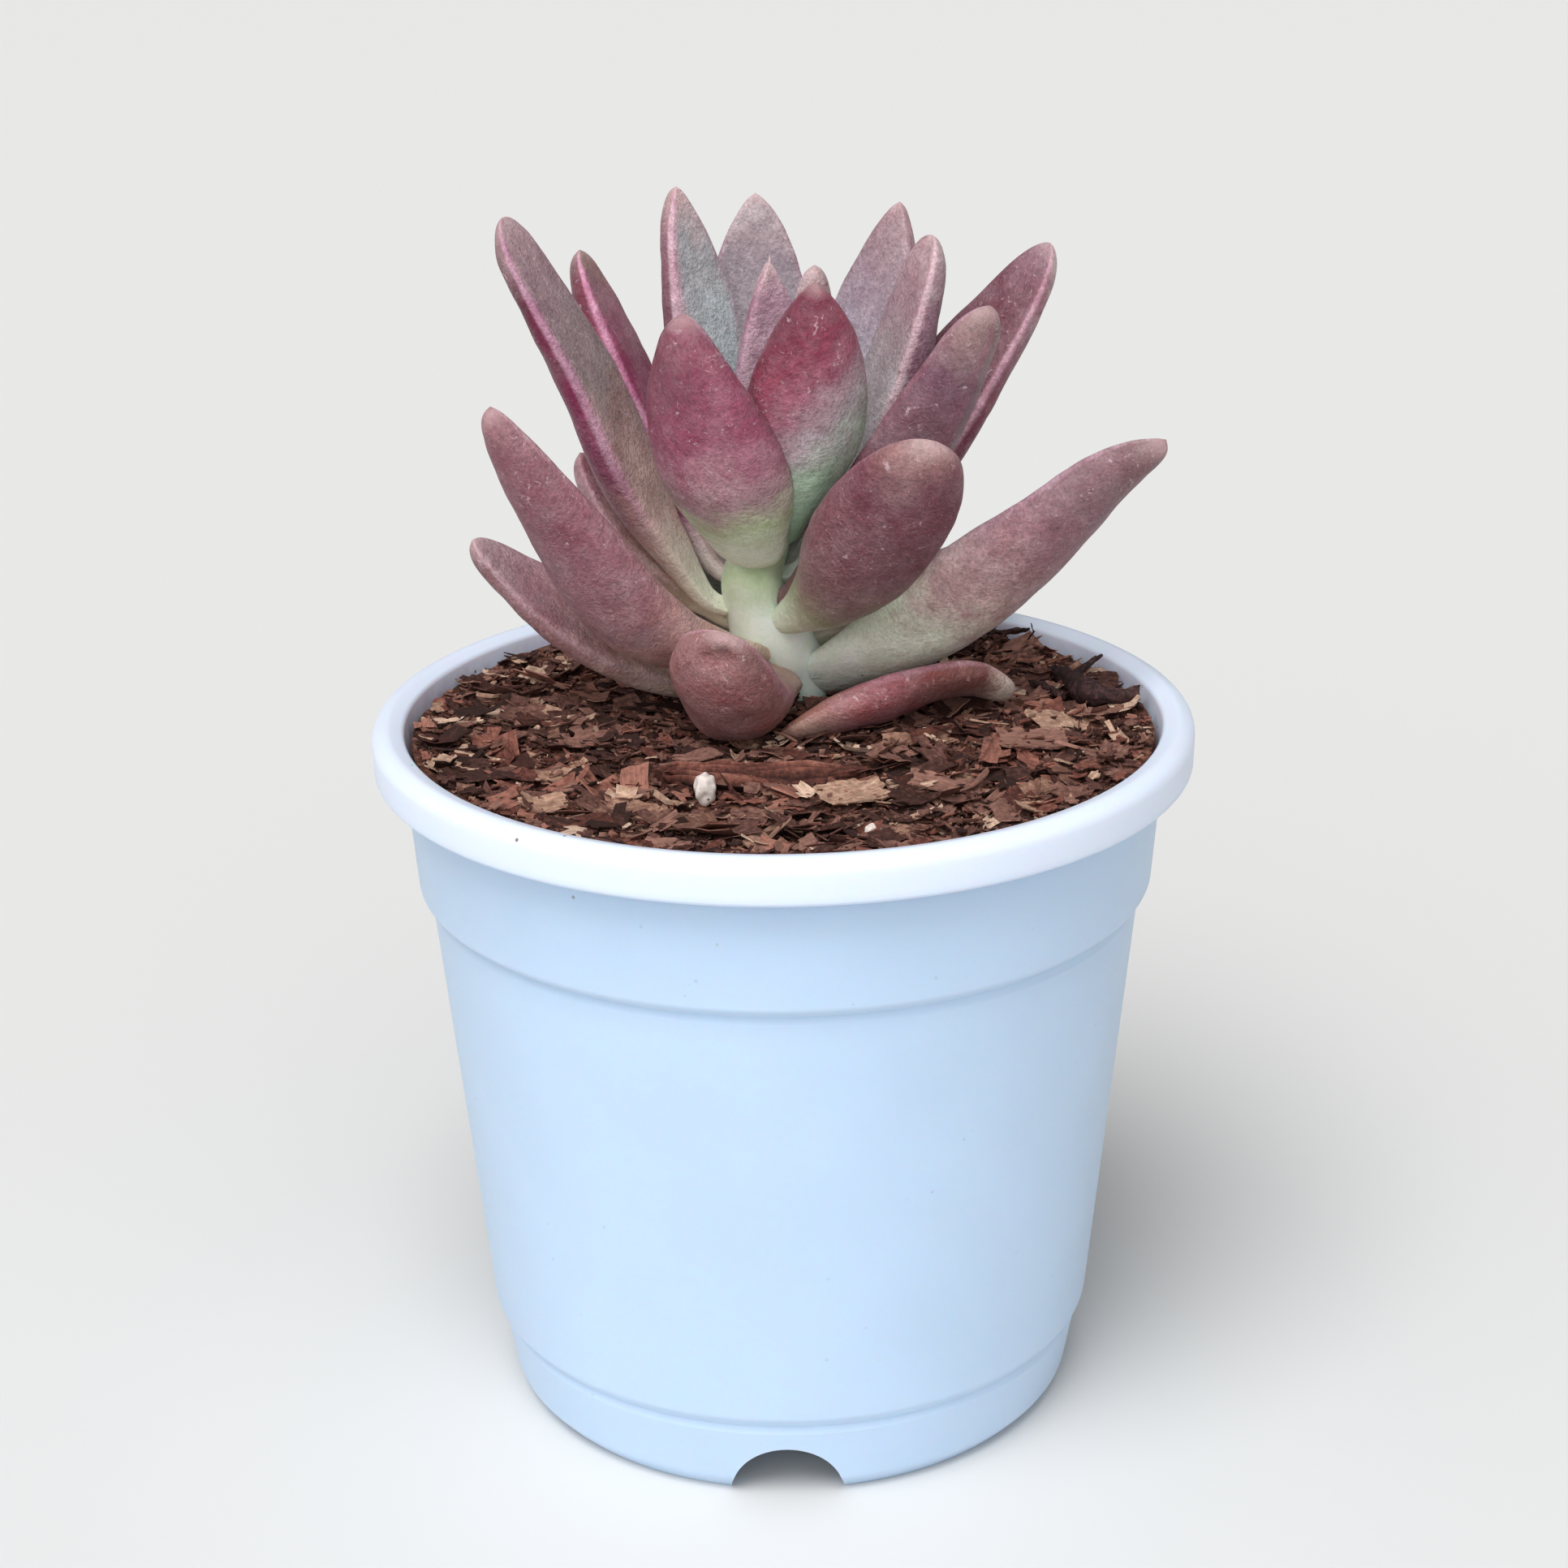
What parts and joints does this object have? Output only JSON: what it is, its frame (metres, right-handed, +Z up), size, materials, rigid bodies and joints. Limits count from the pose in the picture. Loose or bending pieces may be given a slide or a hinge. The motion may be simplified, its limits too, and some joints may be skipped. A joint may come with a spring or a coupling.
{
  "type": "potted succulent",
  "caption": "Rosette succulent with pointed fleshy mauve leaves on a short pale stem, standing in bark mix in a round pale blue nursery pot with a rolled rim and notched foot.",
  "frame": {"origin": "centre of the pot's foot ring, in the plane that the pot stands on", "axes": "+Z up along the pot's axis, -Y towards the front of the plant, +X to the right as seen from the front"},
  "size_m": [0.105, 0.105, 0.1568],
  "materials": {
    "pot": "satin, injection moulded, pale blue",
    "soil": "dark damp bark and compost",
    "stem": "waxy, pale mint",
    "leaf_mauve": "waxy bloom, mauve",
    "leaf_grey_mauve": "waxy bloom, greyish mauve",
    "leaf_maroon": "waxy bloom, maroon running to green at the base",
    "leaf_grey_green": "waxy bloom, grey green",
    "leaf_pink": "waxy bloom, dusty pink",
    "bark_brown": "rough, brown",
    "bark_red": "rough, reddish",
    "bark_tan": "rough, weathered tan",
    "twig": "rough, nearly black",
    "grain": "rough, pale; a small stone"
  },
  "bodies": {
    "root": {"pot": "pot", "soil": "soil", "stem": "stem", "leaf_01": "leaf_grey_mauve", "leaf_02": "leaf_grey_mauve", "leaf_03": "leaf_mauve", "leaf_04": "leaf_grey_mauve", "leaf_05": "leaf_mauve", "leaf_06": "leaf_grey_mauve", "leaf_07": "leaf_grey_mauve", "leaf_08": "leaf_mauve", "leaf_09": "leaf_grey_mauve", "leaf_10": "leaf_grey_green", "leaf_11": "leaf_mauve", "leaf_12": "leaf_maroon", "leaf_13": "leaf_mauve", "leaf_14": "leaf_grey_mauve", "leaf_15": "leaf_mauve", "leaf_16": "leaf_grey_mauve", "leaf_17": "leaf_grey_green", "leaf_18": "leaf_maroon", "leaf_19": "leaf_pink", "leaf_20": "leaf_grey_green", "leaf_21": "leaf_grey_green", "leaf_22": "leaf_grey_green", "leaf_23": "leaf_maroon", "leaf_24": "leaf_pink", "leaf_25": "leaf_pink", "fallen_leaf": "leaf_mauve", "bark_strip": "bark_red", "bark_chip_01": "bark_tan", "bark_chip_02": "bark_tan", "bark_chip_03": "bark_tan", "bark_chip_04": "bark_tan", "bark_chip_05": "bark_tan", "bark_chip_06": "bark_tan", "bark_chip_07": "bark_brown", "bark_chip_08": "bark_brown", "bark_chip_09": "bark_brown", "bark_chip_10": "bark_brown", "bark_chip_11": "bark_tan", "bark_chip_12": "bark_brown", "bark_chip_13": "bark_tan", "bark_chip_14": "bark_brown", "bark_chip_15": "bark_tan", "splinter": "bark_red", "twig_01": "twig", "twig_02": "twig", "grain_01": "grain", "grain_02": "grain"}
  },
  "joints": []
}
